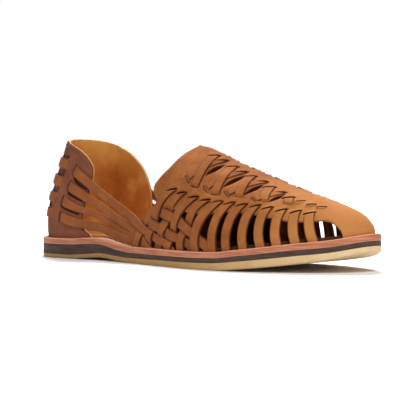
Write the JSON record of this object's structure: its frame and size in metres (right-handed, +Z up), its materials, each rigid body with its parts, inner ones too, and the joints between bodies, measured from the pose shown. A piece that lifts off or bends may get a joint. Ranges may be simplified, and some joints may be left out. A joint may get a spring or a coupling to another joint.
{
  "type": "huarache sandal",
  "caption": "Closed-toe woven leather huarache sandal, right shoe, with an open collar, strapped heel counter, side slots and a flat layered sole.",
  "frame": {"origin": "on the ground, under the middle of the whole shoe's box", "axes": "+X to the toe, +Y to the medial side (the wearer's left), +Z up"},
  "size_m": [0.3, 0.1006, 0.0892],
  "materials": {
    "outsole_rubber": "matte tan crepe rubber",
    "midsole_foam": "matte dark brown foam",
    "welt_leather": "cut natural leather edge",
    "lining_leather": "smooth tan lining leather",
    "counter_leather": "red-brown nubuck",
    "upper_nubuck": "warm brown nubuck"
  },
  "bodies": {
    "root": {"outsole": "outsole_rubber", "midsole": "midsole_foam", "welt": "welt_leather", "insole": "lining_leather", "heel_counter": "counter_leather", "upper": "upper_nubuck"}
  },
  "joints": []
}
